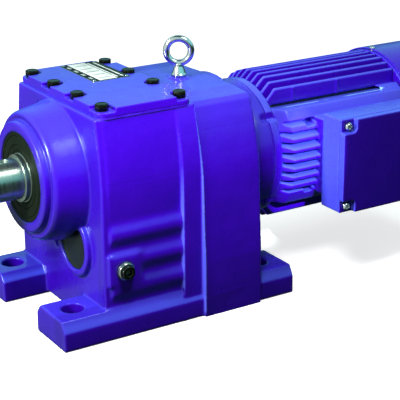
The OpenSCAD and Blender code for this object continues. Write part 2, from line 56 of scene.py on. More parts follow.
SLOT = {s["node"]: s["material_slot"] for s in REC["subparts"]}
MM = 0.001
ZO, ZM = 0.180, 0.166
YI, ZI = -0.0441489, 0.0992857
SC = bpy.context.scene


# ------------------------------------------------------------------ materials
class Mat:
    def __init__(self, name):
        self.m = bpy.data.materials.new(name)
        self.m.use_nodes = True
        self.t = self.m.node_tree
        self.b = self.t.nodes["Principled BSDF"]
        self.tc = self.t.nodes.new("ShaderNodeTexCoord").outputs["Object"]

    def n(self, kind, **kw):
        x = self.t.nodes.new(kind)
        for k, v in kw.items():
            setattr(x, k, v)
        return x

    def l(self, a, b):
        self.t.links.new(a, b)

    def put(self, **kw):
        for k, v in kw.items():
            s = self.b.inputs[k.replace("_", " ")]
            s.default_value = v
        return self

    def mapping(self, scale=(1, 1, 1), rot=(0, 0, 0), loc=(0, 0, 0)):
        x = self.n("ShaderNodeMapping")
        x.inputs["Scale"].default_value = scale
        x.inputs["Rotation"].default_value = rot
        x.inputs["Location"].default_value = loc
        self.l(self.tc, x.inputs["Vector"])
        return x.outputs["Vector"]

    def noise(self, scale, detail=2.0, rough=0.5, vec=None, dist=0.0):
        x = self.n("ShaderNodeTexNoise")
        x.inputs["Scale"].default_value = scale
        x.inputs["Detail"].default_value = detail
        x.inputs["Roughness"].default_value = rough
        x.inputs["Distortion"].default_value = dist
        self.l(vec if vec is not None else self.tc, x.inputs["Vector"])
        return x.outputs["Fac"]

    def ramp(self, fac, stops):
        x = self.n("ShaderNodeValToRGB")
        e = x.color_ramp.elements
        while len(e) < len(stops):
            e.new(0.5)
        for q, (p, c) in zip(e, stops):
            q.position = p
            q.color = (c, c, c, 1) if isinstance(c, (int, float)) else (*c, 1)
        self.l(fac, x.inputs["Fac"])
        return x.outputs["Color"]

    def mix(self, fac, a, b, mode="MIX"):
        x = self.n("ShaderNodeMix", data_type="RGBA", blend_type=mode)
        f, A, B = x.inputs[0], x.inputs[6], x.inputs[7]
        for s, v in ((f, fac), (A, a), (B, b)):
            if isinstance(v, (int, float)):
                s.default_value = v
            elif isinstance(v, tuple):
                s.default_value = (*v, 1)
            else:
                self.l(v, s)
        return x.outputs[2]

    def math(self, op, a, b=0.0, c=None):
        x = self.n("ShaderNodeMath", operation=op)
        for i, v in enumerate((a, b) if c is None else (a, b, c)):
            if isinstance(v, (int, float)):
                x.inputs[i].default_value = v
            else:
                self.l(v, x.inputs[i])
        return x.outputs[0]

    def rng(self, v, a, b, c, d):
        x = self.n("ShaderNodeMapRange")
        self.l(v, x.inputs["Value"])
        for k, q in (("From Min", a), ("From Max", b), ("To Min", c), ("To Max", d)):
            x.inputs[k].default_value = q
        return x.outputs["Result"]

    def bump(self, height, dist, strength=1.0, prev=None):
        x = self.n("ShaderNodeBump")
        x.inputs["Strength"].default_value = strength
        x.inputs["Distance"].default_value = dist
        self.l(height, x.inputs["Height"])
        if prev is not None:
            self.l(prev, x.inputs["Normal"])
        return x.outputs["Normal"]

    def point(self, lo, hi):
        g = self.n("ShaderNodeNewGeometry").outputs["Pointiness"]
        return self.rng(g, lo, hi, 0.0, 1.0)

    def ao(self, dist):
        x = self.n("ShaderNodeAmbientOcclusion")
        x.samples = 8
        x.inputs["Distance"].default_value = dist
        return x.outputs["AO"]

    def color(self, s):
        self.l(s, self.b.inputs["Base Color"])
        return self

    def rough(self, s):
        self.l(s, self.b.inputs["Roughness"])
        return self

    def normal(self, s):
        self.l(s, self.b.inputs["Normal"])
        self.l(s, self.b.inputs["Coat Normal"])
        return self


def enamel(name, hi, lo, cast=1.0, rough=0.30, coat=0.32, crevice_shade=0.28, sheen=0.24, up=0.0, top_light_col=(0.085, 0.125, 0.80), fin_slot_painted_light=False, hollow_shade=0.0, wall_painted_light=False):
    """Glossy enamel over cast or sheet metal: orange peel, slow casting waves, thin paint on edges, painted shade in
    corners; options add painted light and shade by facing and place.
    """
    k = Mat(name)
    big = k.noise(16.0, 3.0, 0.55)
    fine = k.noise(140.0, 4.0, 0.6)
    c = k.mix(k.ramp(big, [(0.30, 0.0), (0.72, 1.0)]), lo, hi)
    c = k.mix(k.math("MULTIPLY", k.ramp(fine, [(0.56, 0.0), (0.80, 1.0)]), 0.22), c, tuple(0.72 * v for v in lo))
    edge = k.math("MULTIPLY", k.point(0.52, 0.60), k.ramp(k.noise(60.0, 3.0), [(0.38, 0.25), (0.66, 1.0)]))
    c = k.mix(k.math("MULTIPLY", edge, 0.35), c, tuple(min(1.0, 1.25 * v + 0.03) for v in hi))
    # painted shade: darker in creases and corners, from ambient occlusion
    c = k.mix(k.math("MULTIPLY", k.math("SUBTRACT", 1.0, k.ao(0.012)), crevice_shade), c, tuple(0.22 * v for v in lo))
    # painted shade: wide ambient occlusion darkens the paint under the boss, in rib valleys and other hollows
    if hollow_shade:
        c = k.mix(k.math("MULTIPLY", k.math("SUBTRACT", 1.0, k.ao(0.07)), hollow_shade), c, tuple(0.12 * v for v in lo))
    if wall_painted_light:
        # painted highlight: pale streaks along the two upright edges of the side walls
        o = k.n("ShaderNodeSeparateXYZ")
        k.l(k.tc, o.inputs[0])
        side = k.rng(k.math("ABSOLUTE", o.outputs["Y"]), 0.094, 0.099, 0.0, 1.0)

        def highlight_streak_at(x0, w, z0, z1, fade):
            v = k.rng(k.math("ABSOLUTE", k.math("SUBTRACT", o.outputs["X"], x0)), w * 0.4, w, 1.0, 0.0)
            v = k.math("MULTIPLY", v, k.rng(o.outputs["Z"], z0, z0 + 0.004, 0.0, 1.0))
            return k.math("MULTIPLY", v, k.rng(o.outputs["Z"], z1 - fade, z1, 1.0, 0.0))
        v = k.math("MAXIMUM", highlight_streak_at(0.0296, 0.0017, 0.004, 0.266, 0.004), highlight_streak_at(0.0034, 0.0013, 0.040, 0.200, 0.060))
        c = k.mix(k.math("MULTIPLY", k.math("MULTIPLY", v, side), 0.75), c, (0.115, 0.150, 0.95))
    # painted light and reflection: faces that point up are tinted toward the cyan colour of lit tops
    if up:
        g = k.n("ShaderNodeSeparateXYZ")
        k.l(k.n("ShaderNodeNewGeometry").outputs["Normal"], g.inputs[0])
        flat = k.rng(g.outputs["Z"], 0.25, 0.75, 0.0, 1.0)
        c = k.mix(k.math("MULTIPLY", flat, up), c, top_light_col)
        if wall_painted_light:
            # painted highlight on the tops of the feet; painted shade on the undersides and towards the bottom of the
            # side walls
            low = k.rng(o.outputs["Z"], 0.030, 0.036, 1.0, 0.0)
            c = k.mix(k.math("MULTIPLY", k.math("MULTIPLY", flat, low), 0.8), c, (0.085, 0.120, 0.92))
            # painted shade: faces that point down, away from the side walls, are darkened
            c = k.mix(k.math("MULTIPLY", k.rng(g.outputs["Z"], -0.65, -0.05, 0.75, 0.0), k.math("SUBTRACT", 1.0, side)), c, tuple(0.25 * v for v in lo))
            # painted shade: the side walls darken towards the bottom
            c = k.mix(k.math("MULTIPLY", k.math("MULTIPLY", side, k.rng(o.outputs["Z"], 0.070, 0.170, 0.30, 0.0)), 1.0), c, tuple(0.3 * v for v in lo))
    if fin_slot_painted_light:
        # painted shadow: near black in the slot at the foot of the fins; painted highlight: pale cyan streaks on the
        # edge beside it
        o = k.n("ShaderNodeSeparateXYZ")
        k.l(k.tc, o.inputs[0])
        ay = k.math("ABSOLUTE", o.outputs["Y"])
        az_ = k.math("ABSOLUTE", k.math("SUBTRACT", o.outputs["Z"], ZM))

        def band(v, a, b, soft=0.0006):
            return k.math("MULTIPLY", k.rng(v, a - soft, a, 0.0, 1.0), k.rng(v, b, b + soft, 1.0, 0.0))
        slot_shadow = k.math("MULTIPLY", band(ay, 0.0440, 0.0560), band(az_, 0.0606, 0.0640))
        c = k.mix(slot_shadow, c, (0.003, 0.002, 0.020))
        # painted highlight: broken pale cyan streaks along the lip below the fins
        lip_highlight = k.math("MULTIPLY", band(ay, 0.0600, 0.0655), band(az_, 0.0612, 0.0650))
        lip_highlight = k.math("MULTIPLY", lip_highlight, k.ramp(k.noise(26.0, 2.0, 0.5), [(0.46, 0.0), (0.56, 1.0)]))
        c = k.mix(k.math("MULTIPLY", lip_highlight, 0.85), c, (0.32, 0.74, 0.80))
    k.color(c)
    r = k.rng(k.noise(55.0, 3.0, 0.6), 0.3, 0.75, rough - 0.06, rough + 0.10)
    k.rough(r)
    b = k.bump(k.noise(42.0, 2.0, 0.5), 0.0016 * cast, 0.30)
    b = k.bump(k.noise(300.0, 3.0, 0.55), 0.00025 * cast, 0.35, b)
    b = k.bump(k.noise(1100.0, 2.0, 0.5), 0.00006, 0.35, b)
    k.normal(b)
    k.put(Coat_Weight=coat, Coat_Roughness=0.16, IOR=1.46, Specular_IOR_Level=0.42)
    k.b.inputs["Specular Tint"].default_value = (0.45, 0.85, 1.0, 1)
    k.put(Sheen_Weight=sheen, Sheen_Roughness=0.24, Sheen_Tint=(0.12, 0.85, 1.0, 1))
    return k.m


def turned(name, base, axis_yz, rough=0.26, marks=1.0, metal=1.0):
    """Turned or ground steel: fine rings round the X axis, faint stains."""
    k = Mat(name)
    v = k.mapping(scale=(1.0, 0.02, 0.02))
    rings = k.noise(2600.0, 3.0, 0.7, vec=v)
    wide = k.noise(210.0, 2.0, 0.5, vec=v)
    stain = k.noise(38.0, 4.0, 0.6)
    c = k.mix(k.ramp(rings, [(0.35, 0.0), (0.7, 1.0)]), tuple(0.84 * x for x in base), base)
    c = k.mix(k.math("MULTIPLY", k.ramp(stain, [(0.55, 0.0), (0.8, 1.0)]), 0.35), c, tuple(0.55 * x for x in base))
    k.color(c)
    k.rough(k.rng(k.math("ADD", k.math("MULTIPLY", rings, 0.6), k.math("MULTIPLY", wide, 0.4)), 0.3, 0.7, rough - 0.07, rough + 0.13))
    b = k.bump(rings, 0.00003 * marks, 0.5)
    b = k.bump(wide, 0.00006 * marks, 0.3, b)
    k.normal(b)
    k.put(Metallic=metal)
    return k.m


def machined(name, base, rough=0.3, metal=1.0, spots=0.3, spot=0.5, grain=500.0, spec=0.5):
    k = Mat(name)
    f = k.noise(grain, 3.0, 0.6)
    s = k.noise(46.0, 4.0, 0.6)
    c = k.mix(k.ramp(f, [(0.35, 0.0), (0.7, 1.0)]), tuple(0.82 * x for x in base), base)
    c = k.mix(k.math("MULTIPLY", k.ramp(s, [(0.52, 0.0), (0.78, 1.0)]), spots), c, tuple(spot * x for x in base))
    # painted shade: darker in small crevices, from ambient occlusion
    c = k.mix(k.math("MULTIPLY", k.math("SUBTRACT", 1.0, k.ao(0.006)), 0.5), c, tuple(0.3 * x for x in base))
    k.color(c)
    k.rough(k.rng(s, 0.3, 0.75, rough - 0.06, rough + 0.12))
    b = k.bump(f, 0.00004, 0.4)
    b = k.bump(k.noise(90.0, 2.0), 0.0002, 0.2, b)
    k.normal(b)
    k.put(Metallic=metal, Specular_IOR_Level=spec)
    return k.m


def moulded(name, base, rough=0.45, grain=900.0, tint=None, spec=0.5):
    k = Mat(name)
    f = k.noise(grain, 3.0, 0.6)
    s = k.noise(40.0, 4.0, 0.55)
    c = k.mix(k.ramp(s, [(0.35, 0.0), (0.75, 1.0)]), tuple(0.7 * x for x in base), tuple(1.25 * x for x in base))
    dust = k.math("MULTIPLY", k.ramp(k.noise(120.0, 5.0, 0.7), [(0.58, 0.0), (0.82, 1.0)]), 0.10)
    c = k.mix(dust, c, (0.20, 0.22, 0.20))
    k.color(c)
    k.rough(k.rng(s, 0.3, 0.75, rough - 0.07, rough + 0.10))
    k.normal(k.bump(f, 0.00008, 0.4))
    k.put(Specular_IOR_Level=spec)
    if tint:
        k.b.inputs["Specular Tint"].default_value = (*tint, 1)
    return k.m


BLUE_HI, BLUE_LO = (0.048, 0.0014, 0.56), (0.036, 0.0008, 0.47)
M = {
    "cast": enamel("paint_on_casting", BLUE_HI, BLUE_LO, cast=1.0, up=0.7, top_light_col=(0.038, 0.026, 0.54), hollow_shade=0.5, wall_painted_light=True),
    "cover": enamel("paint_on_cover", BLUE_HI, BLUE_LO, cast=0.5, rough=0.26, crevice_shade=0.10, up=0.7, top_light_col=(0.036, 0.018, 0.50)),
    "sheet": enamel("paint_on_sheet", BLUE_HI, BLUE_LO, cast=0.25, rough=0.24),
    "fins": enamel("paint_on_fins", BLUE_HI, BLUE_LO, cast=0.6, crevice_shade=0.15, up=0.6, fin_slot_painted_light=True),
    # painted light: the terminal box gets a lighter, cyan copy of the blue paint, standing for its lit face
    "box": enamel("paint_on_box_lit_tone", (0.058, 0.068, 0.66), (0.052, 0.052, 0.61), cast=0.35, rough=0.26, sheen=0.5),
    # painted shade: a darker copy of the paint, put on the lid's front face
    "lid": enamel("paint_on_lid_shaded_front", (0.030, 0.0014, 0.40), (0.026, 0.0008, 0.35), cast=0.35, rough=0.30, sheen=0.1),
    "plug": machined("plug_steel", (0.52, 0.54, 0.52), 0.14, spots=0.5, spot=0.25),
    "plug_head": machined("plug_head_steel", (0.085, 0.085, 0.065), 0.20, spots=0.4, spot=0.4, spec=0.3),
    "shaft": turned("turned_steel", (0.52, 0.60, 0.53), 0),
    "steel": machined("ground_steel", (0.50, 0.53, 0.52), 0.30),
    "race": machined("bearing_steel", (0.66, 0.67, 0.69), 0.16, spots=0.1),
    "cage": machined("pressed_cage", (0.62, 0.46, 0.20), 0.28, spots=0.2),
    "zinc": machined("bright_plate", (0.88, 0.90, 0.90), 0.10, spots=0.12, spot=0.8, grain=900.0),
    "oxide": machined("black_oxide", (0.007, 0.010, 0.005), 0.22, metal=0.6, spots=0.6, spot=3.4, spec=0.22),
    "rubber": moulded("seal_rubber", (0.006, 0.010, 0.005), 0.46, tint=(0.6, 1.0, 0.75), spec=0.10),
    "cap": moulded("cap_rubber", (0.008, 0.012, 0.009), 0.38, tint=(0.6, 1.0, 0.85), spec=0.2),
    "gasket": moulded("gasket_fibre", (0.03, 0.03, 0.035), 0.7),
    "plastic": moulded("black_plastic", (0.022, 0.023, 0.026), 0.42),
    "board": moulded("brown_board", (0.16, 0.07, 0.035), 0.38),
    "brass": machined("turned_brass", (0.72, 0.52, 0.20), 0.24, spots=0.35, spot=0.55),
    "lam": machined("stacked_sheet", (0.34, 0.35, 0.37), 0.42, grain=1600.0),
    "wire": machined("varnished_copper", (0.62, 0.26, 0.09), 0.30, metal=0.6, grain=1400.0),
    "alu": machined("ground_ring", (0.72, 0.74, 0.73), 0.24, spots=0.15),
}
KEEP = {
    "blue_paint": "cast", "black_oxide_steel": "oxide", "zinc_plate": "zinc", "plate_aluminium": "alu", "seal_rubber": "rubber",
    "brass": "brass", "ground_steel": "steel", "bearing_steel": "race", "lamination_steel": "lam", "enamelled_wire": "wire",
    "moulded_plastic": "plastic",
}
SPECIAL = {
    "output_shaft": "shaft", "rotor_shaft": "shaft", "intermediate_pinion_shaft": "shaft", "stator_frame": "fins", "fan_cowl": "sheet",
    "terminal_box": "box", "terminal_box_lid": "lid", "inspection_cover": "cover", "cover_gasket": "cover", "plug_sealing_rings": "alu",
    "terminal_board": "board", "closing_cap": "cap",
}
for b in ("output_front", "output_rear", "intermediate_front", "intermediate_rear", "motor_front", "motor_rear"):
    SPECIAL[b + "_ball_set"] = "cage"


def paint(ob, key):
    ob.data.materials.clear()
    ob.data.materials.append(M[key])


for name, ob in N.items():
    paint(ob, SPECIAL.get(name) or KEEP[SLOT[name]])


# ------------------------------------------------------------------ mesh helpers
def obj_from(name, verts, faces, key, scale=MM):
    me = bpy.data.meshes.new(name)
    me.from_pydata([tuple(c * scale for c in v) for v in verts], [], faces)
    me.validate()
    ob = bpy.data.objects.new(name, me)
    SC.collection.objects.link(ob)
    fix_normals(me)
    if key:
        me.materials.append(M[key])
    return ob


def fix_normals(me, angle=None):
    bm = bmesh.new()
    bm.from_mesh(me)
    bmesh.ops.remove_doubles(bm, verts=bm.verts, dist=1e-7)
    bmesh.ops.recalc_face_normals(bm, faces=bm.faces)
    bm.to_mesh(me)
    bm.free()
    me.shade_smooth()
    if angle:
        me.set_sharp_from_angle(angle=math.radians(angle))


def stand(ob, *nodes, key=None):
    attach(ob, BODY[nodes[0]])
    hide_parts(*nodes)
    if key:
        paint(ob, key)
    return ob


def extra(ob, body, slot):
    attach(ob, body)
    return ob


def fillet(pts, rads, n=5):
    """Rounds the corners of an open polyline by arcs."""
    out = [np.array(pts[0], float)]
    for i in range(1, len(pts) - 1):
        p0, p, p1 = (np.array(pts[j], float) for j in (i - 1, i, i + 1))
        r = rads[i] if isinstance(rads, (list, tuple)) else rads
        a, b = p0 - p, p1 - p
        la, lb = np.linalg.norm(a), np.linalg.norm(b)
        if r <= 0 or la < 1e-9 or lb < 1e-9:
            out.append(p)
            continue
        a, b = a / la, b / lb
        cosv = float(np.clip(a @ b, -1, 1))
        half = math.acos(cosv) / 2
        if half > math.radians(88):
            out.append(p)
            continue
        t = min(r / math.tan(half), 0.48 * la, 0.48 * lb)
        rr = t * math.tan(half)
        c = p + (a + b) / np.linalg.norm(a + b) * (rr / math.sin(half))
        s, e = p + a * t, p + b * t
        for k in range(n + 1):
            q = s + (e - s) * (k / n) - c
            q = q / np.linalg.norm(q) * rr + c
            out.append(q)
    out.append(np.array(pts[-1], float))
    return [tuple(q) for q in out]


def lathe(name, prof, place, key, segs=96, n=5, rads=0.5):
    """Turns a profile [(radius, height)] about local Z and places it with a 4x4 matrix in mm."""
    pts = fillet(prof, rads, n)
    V, F = [], []
    rings = []
    for r, h in pts:
        if r < 1e-6:
            rings.append([len(V)])
            V.append((0, 0, h))
        else:
            s = len(V)
            V += [(r * math.cos(2 * math.pi * i / segs), r * math.sin(2 * math.pi * i / segs), h) for i in range(segs)]
            rings.append(list(range(s, s + segs)))
    for a, b in zip(rings, rings[1:]):
        for i in range(segs):
            j = (i + 1) % segs
            if len(a) == 1 and len(b) == 1:
                continue
            if len(a) == 1:
                F.append((a[0], b[i], b[j]))
            elif len(b) == 1:
                F.append((a[i], a[j], b[0]))
            else:
                F.append((a[i], a[j], b[j], b[i]))
    V = [tuple(place @ Vector(v)) for v in V]
    return obj_from(name, V, F, key)


def polar(name, rings, place, key, segs=96, close_top=True, close_bottom=True):
    """Stacks rings given as (radius function of angle, height function of angle)."""
    V, F = [], []
    for fr, fh in rings:
        for i in range(segs):
            a = 2 * math.pi * i / segs
            r = fr(a) if callable(fr) else fr
            h = fh(a) if callable(fh) else fh
            V.append((r * math.cos(a), r * math.sin(a), h))
    for k in range(len(rings) - 1):
        for i in range(segs):
            j = (i + 1) % segs
            F.append((k * segs + i, k * segs + j, (k + 1) * segs + j, (k + 1) * segs + i))
    if close_bottom:
        F.append(tuple(reversed(range(segs))))
    if close_top:
        F.append(tuple(range((len(rings) - 1) * segs, len(rings) * segs)))
    V = [tuple(place @ Vector(v)) for v in V]
    return obj_from(name, V, F, key)


def join(obs, name):
    """Joins mesh objects into the first one."""
    bm = bmesh.new()
    mats = []
    for o in obs:
        base = []
        for m in o.data.materials:
            if m not in mats:
                mats.append(m)
            base.append(mats.index(m))
        n0 = len(bm.faces)
        bm.from_mesh(o.data)
        bm.faces.ensure_lookup_table()
        for f in bm.faces[n0:]:
            f.material_index = base[f.material_index] if base else 0
    me = bpy.data.meshes.new(name)
    bm.to_mesh(me)
    bm.free()
    for m in mats:
        me.materials.append(m)
    me.shade_smooth()
    for o in obs:
        d = o.data
        bpy.data.objects.remove(o)
        bpy.data.meshes.remove(d)
    ob = bpy.data.objects.new(name, me)
    SC.collection.objects.link(ob)
    return ob


def at(x=0, y=0, z=0, rot=None):
    m = Matrix.Translation((x, y, z))
    return m @ rot if rot is not None else m


RX = lambda d: Matrix.Rotation(math.radians(d), 4, "X")
RY = lambda d: Matrix.Rotation(math.radians(d), 4, "Y")
RZ = lambda d: Matrix.Rotation(math.radians(d), 4, "Z")
TO_MX = RY(-90)   # local Z to -X
TO_PX = RY(90)    # local Z to +X
TO_MY = RX(90)    # local Z to -Y
TO_PY = RX(-90)   # local Z to +Y


def grab(node):
    """A welded copy of a CAD node's mesh as a new object."""
    src = N[node].data
    v = np.empty(len(src.vertices) * 3)
    src.vertices.foreach_get("co", v)
    src.calc_loop_triangles()
    f = np.empty(len(src.loop_triangles) * 3, dtype=np.int32)
    src.loop_triangles.foreach_get("vertices", f)
    me = bpy.data.meshes.new("v_" + node)
    me.from_pydata(v.reshape(-1, 3).tolist(), [], f.reshape(-1, 3).tolist())
    bm = bmesh.new()
    bm.from_mesh(me)
    bmesh.ops.remove_doubles(bm, verts=bm.verts, dist=2e-6)
    bm.to_mesh(me)
    bm.free()
    ob = bpy.data.objects.new("v_" + node, me)
    SC.collection.objects.link(ob)
    return ob


def bake_modifiers(ob):
    dg = bpy.context.evaluated_depsgraph_get()
    me = bpy.data.meshes.new_from_object(ob.evaluated_get(dg))
    old = ob.data
    ob.modifiers.clear()
    ob.data = me
    bpy.data.meshes.remove(old)
    return ob


def soften(me, rounds, weight=None, factor=0.5):
    """Rounds edges by averaging neighbours; weight is 0..1 per vertex."""
    n = len(me.vertices)
    co = np.empty(n * 3)
    me.vertices.foreach_get("co", co)
    co = co.reshape(-1, 3)
    e = np.empty(len(me.edges) * 2, dtype=np.int32)
    me.edges.foreach_get("vertices", e)
    e = e.reshape(-1, 2)
    deg = np.bincount(e.ravel(), minlength=n).astype(float)
    deg[deg == 0] = 1
    w = np.ones(n) if weight is None else weight(co)
    for _ in range(rounds):
        s = np.stack([np.bincount(e[:, 0], co[e[:, 1], k], n) + np.bincount(e[:, 1], co[e[:, 0], k], n) for k in range(3)], 1)
        co = co + (factor * w)[:, None] * (s / deg[:, None] - co)
    me.vertices.foreach_set("co", co.ravel())
    me.update()


def cast(node, voxel, rounds, key, ratio=1.0, extra_rounds=(), base=None, shape=None):
    """A casting made from a CAD node: remeshed, with every edge and corner rounded as a sand mould leaves them."""
    ob = grab(node)
    m = ob.modifiers.new("r", "REMESH")
    m.mode = "VOXEL"
    m.voxel_size = voxel * MM * 1.0
    bake_modifiers(ob)
    q = 1
    soften(ob.data, max(1, rounds // q), base)
    if shape:
        n = len(ob.data.vertices)
        co = np.empty(n * 3)
        ob.data.vertices.foreach_get("co", co)
        co = shape(co.reshape(-1, 3))
        ob.data.vertices.foreach_set("co", co.ravel())
        ob.data.update()
    for r, w in extra_rounds:
        soften(ob.data, max(1, r // q), w)
    if ratio < 1.0:
        d = ob.modifiers.new("d", "DECIMATE")
        d.ratio = min(ratio, 198000 / max(1, sum(len(f.vertices) - 2 for f in ob.data.polygons)))
        bake_modifiers(ob)
    ob.data.shade_smooth()
    if shape:
        ob.data.set_sharp_from_angle(angle=math.radians(58))
    ob.data.materials.clear()
    ob.data.materials.append(M[key])
    return stand(ob, node)


def beveled(node, width, key, segs=3, angle=30, merge=1.0):
    """A machined piece made from a CAD node, with its edges broken."""
    ob = grab(node)
    bm = bmesh.new()
    bm.from_mesh(ob.data)
    bmesh.ops.dissolve_limit(bm, angle_limit=math.radians(merge), verts=bm.verts, edges=bm.edges, delimit={"NORMAL"})
    bm.to_mesh(ob.data)
    bm.free()
    b = ob.modifiers.new("b", "BEVEL")
    b.width = width * MM
    b.segments = segs
    b.limit_method = "ANGLE"
    b.angle_limit = math.radians(angle)
    b.use_clamp_overlap = True
    b.harden_normals = False
    bake_modifiers(ob)
    ob.data.shade_smooth()
    ob.data.set_sharp_from_angle(angle=math.radians(40))
    ob.data.materials.clear()
    ob.data.materials.append(M[key])
    return stand(ob, node)


def smooth01(x):
    x = np.clip(x, 0, 1)
    return x * x * (3 - 2 * x)


# ------------------------------------------------------------------ castings
def side_ribs(co):
    """Extra softness on the ribbed side walls and round the plug pad."""
    x, y, z = co[:, 0] * 1000, np.abs(co[:, 1]) * 1000, co[:, 2] * 1000
    w = smooth01((y - 108) / 3) * smooth01((x + 98) / 8) * smooth01((6 - x) / 8)
    return w * smooth01((z - 38) / 5) * smooth01((152 - z) / 6)


def plug_pad(co):
    """Blends the border of the oil plug pad into the ribbed wall."""
    x, y, z = co[:, 0] * 1000, co[:, 1] * 1000, co[:, 2] * 1000
    d = np.maximum(np.abs(x + 77), np.abs(z - 84))
    return smooth01((-y - 108) / 3) * smooth01((d - 12.5) / 4) * smooth01((31 - d) / 6) * smooth01((x + 98) / 5)


def crisp(co):
    """Keeps the two upright steps in the side wall and the blind hole sharp."""
    x, y, z = co[:, 0] * 1000, np.abs(co[:, 1]) * 1000, co[:, 2] * 1000
    side = smooth01((y - 98) / 4)
    near = np.maximum(1 - smooth01((np.abs(x - 29) - 1.5) / 2.5), 1 - smooth01((np.abs(x - 3) - 1.5) / 2.5))
    hole = 1 - smooth01((np.hypot(co[:, 1] * 1000 - 13, z - 81) - 7) / 3)
    hole = hole * (x < -95)
    return 1 - 0.8 * np.maximum(side * near, hole)


WALLS = [(-94.0, [(144, 113), (190, 113), (233, 108.5), (268, 102.5)]), (3.0, [(144, 113), (190, 115), (233, 110), (268, 104)]),
         (29.0, [(3, 119.5), (195, 119.5), (233, 113), (268, 104)]), (113.5, [(70, 126), (120, 123), (183, 121), (205, 116.5), (234, 109.5), (262, 99)])]


def fair(co):
    """Turns the flats of the side walls into one easy curve."""
    x, y, z = co[:, 0] * 1000, co[:, 1] * 1000, co[:, 2] * 1000
    out = co.copy()
    zz = np.arange(60.0, 300.0, 1.0)
    kern = np.exp(-0.5 * (np.arange(-36, 37) / 13.0) ** 2)
    kern /= kern.sum()
    x0 = -200.0
    for x1, pts in WALLS:
        p = np.interp(zz, [q[0] for q in pts], [q[1] for q in pts])
        lo_, hi_ = p[0], p[-1]
        pad = np.concatenate([np.full(36, lo_), p, np.full(36, hi_)])
        d = np.convolve(pad, kern, "valid") - p
        w = smooth01((zz - 146) / 12) if x0 < 3 and x0 > -120 or x1 <= 3 else smooth01((zz - 84) / 14)
        d = d * w * smooth01((254 - zz) / 16)
        m = (x >= x0) & (x < x1) & (np.abs(y) > 94)
        t = np.interp(z[m], zz, d)
        k = smooth01((np.abs(y[m]) - 94) / 8)
        out[m, 1] += np.sign(y[m]) * np.minimum(t, 0.6) * k * MM
        x0 = x1
    # the thick rear section runs straight down over the foot
    m = (x > 31) & (x < 112) & (z < 46) & (np.abs(y) > 116.5)
    k = smooth01((46 - z[m]) / 20)
    out[m, 1] = out[m, 1] * (1 - k) + np.sign(y[m]) * 125.85 * MM * k
    line = np.exp(-((x - 29.8) / 1.25) ** 2) * smooth01((np.abs(y) - 97) / 4) * smooth01((z - 24) / 8) * smooth01((266 - z) / 8)
    out[:, 1] += np.sign(y) * 1.5 * line * MM
    return out


housing = cast("gear_housing", 1.3, 7, "cast", 0.45, [(26, side_ribs), (30, plug_pad)], crisp, fair)
flange = cast("motor_flange", 1.3, 6, "cast", 0.5)
stator = cast("stator_frame", 1.15, 3, "fins", 0.45)
cover = cast("inspection_cover", 0.8, 4, "cover", 0.4)
tbox = cast("terminal_box", 1.1, 6, "box", 0.4)
lid = cast("terminal_box_lid", 0.9, 6, "box", 0.35)
# painted shade: the lid faces that look toward -Y take the darker paint
lid.data.materials.append(M["lid"])
for f in lid.data.polygons:
    if f.normal.y < -0.8:
        f.material_index = 1
cowl = cast("fan_cowl", 0.9, 2, "sheet", 0.35)
shield = cast("rear_end_shield", 1.3, 3, "cast", 0.4)


# ------------------------------------------------------------------ fasteners
def hexr(af, soft=0.6):
    """Radius of a hexagon with softened corners at an angle."""
    def f(a):
        t = (a + math.pi / 6) % (math.pi / 3) - math.pi / 6
        r = af / 2 / math.cos(t)
        c = af / math.sqrt(3) - soft
        return r if r < c - 0.3 else min(r, c + 0.25 * (r - c))
    return f


def hexhead(name, af, h, place, key, z0=0.0, dish=0.5, cham=1.0, socket=None, segs=96):
    f = hexr(af)
    rc = af / 2 * 0.95
    top = lambda a: z0 + h - max(0.0, (f(a) - rc)) * math.tan(math.radians(30)) * cham
    rings = [(f, z0), (f, lambda a: top(a) - 0.25), (lambda a: f(a) - 0.12, lambda a: top(a) - 0.06), (rc - 0.1, z0 + h), (rc * 0.82, z0 + h)]
    if socket:
        s = hexr(socket, 0.1)
        rings += [(lambda a: s(a) + 0.45, z0 + h), (lambda a: s(a) + 0.12, z0 + h - 0.1), (s, z0 + h - 0.45), (s, z0 + h - 5.0), (0.4, z0 + h - 5.6)]
    else:
        rings += [(rc * 0.74, z0 + h - dish * 0.4), (rc * 0.60, z0 + h - dish), (0.3, z0 + h - dish)]
    return polar(name, rings, place, key, segs)


def flange_bolt(name, place, key, af=13.0, k=6.0, wf=0.66):
    wash = lathe(name + "_w", [(0.0, 0.0), (af * (wf - 0.005), 0.0), (af * wf, 0.9), (af * (wf - 0.05), 1.5), (af * 0.5, 2.0), (0.0, 2.0)], place, key, 72, 3, 0.3)
    head = hexhead(name + "_h", af, k, place, key, z0=1.5, dish=0.45)
    shank = lathe(name + "_s", [(0.0, -20.0), (3.4, -20.0), (4.0, -19.0), (4.0, 0.1), (0.0, 0.1)], place, key, 32, 2, 0.2)
    return [wash, head, shank]


parts = []
for ix, x in enumerate((-87.6, 15.5)):
    for iy, y in enumerate((-92.4, -30.8, 30.8, 92.4)):
        parts += flange_bolt("cb", at(x, y, 275.0, RZ(11 + 23 * ix + 37 * iy)), "oxide", 15.0, 6.9, 0.5)
stand(join(parts, "v_cover_bolts"), "cover_bolts")

parts = []
for k in range(4):
    a = math.radians(45 + 90 * k)
    c = (122.0, -95 * math.sin(a), 166 + 95 * math.cos(a))
    parts += flange_bolt("fb", at(*c, TO_PX @ RZ(17 * k)), "oxide")
stand(join(parts, "v_flange_bolts"), "flange_bolts")


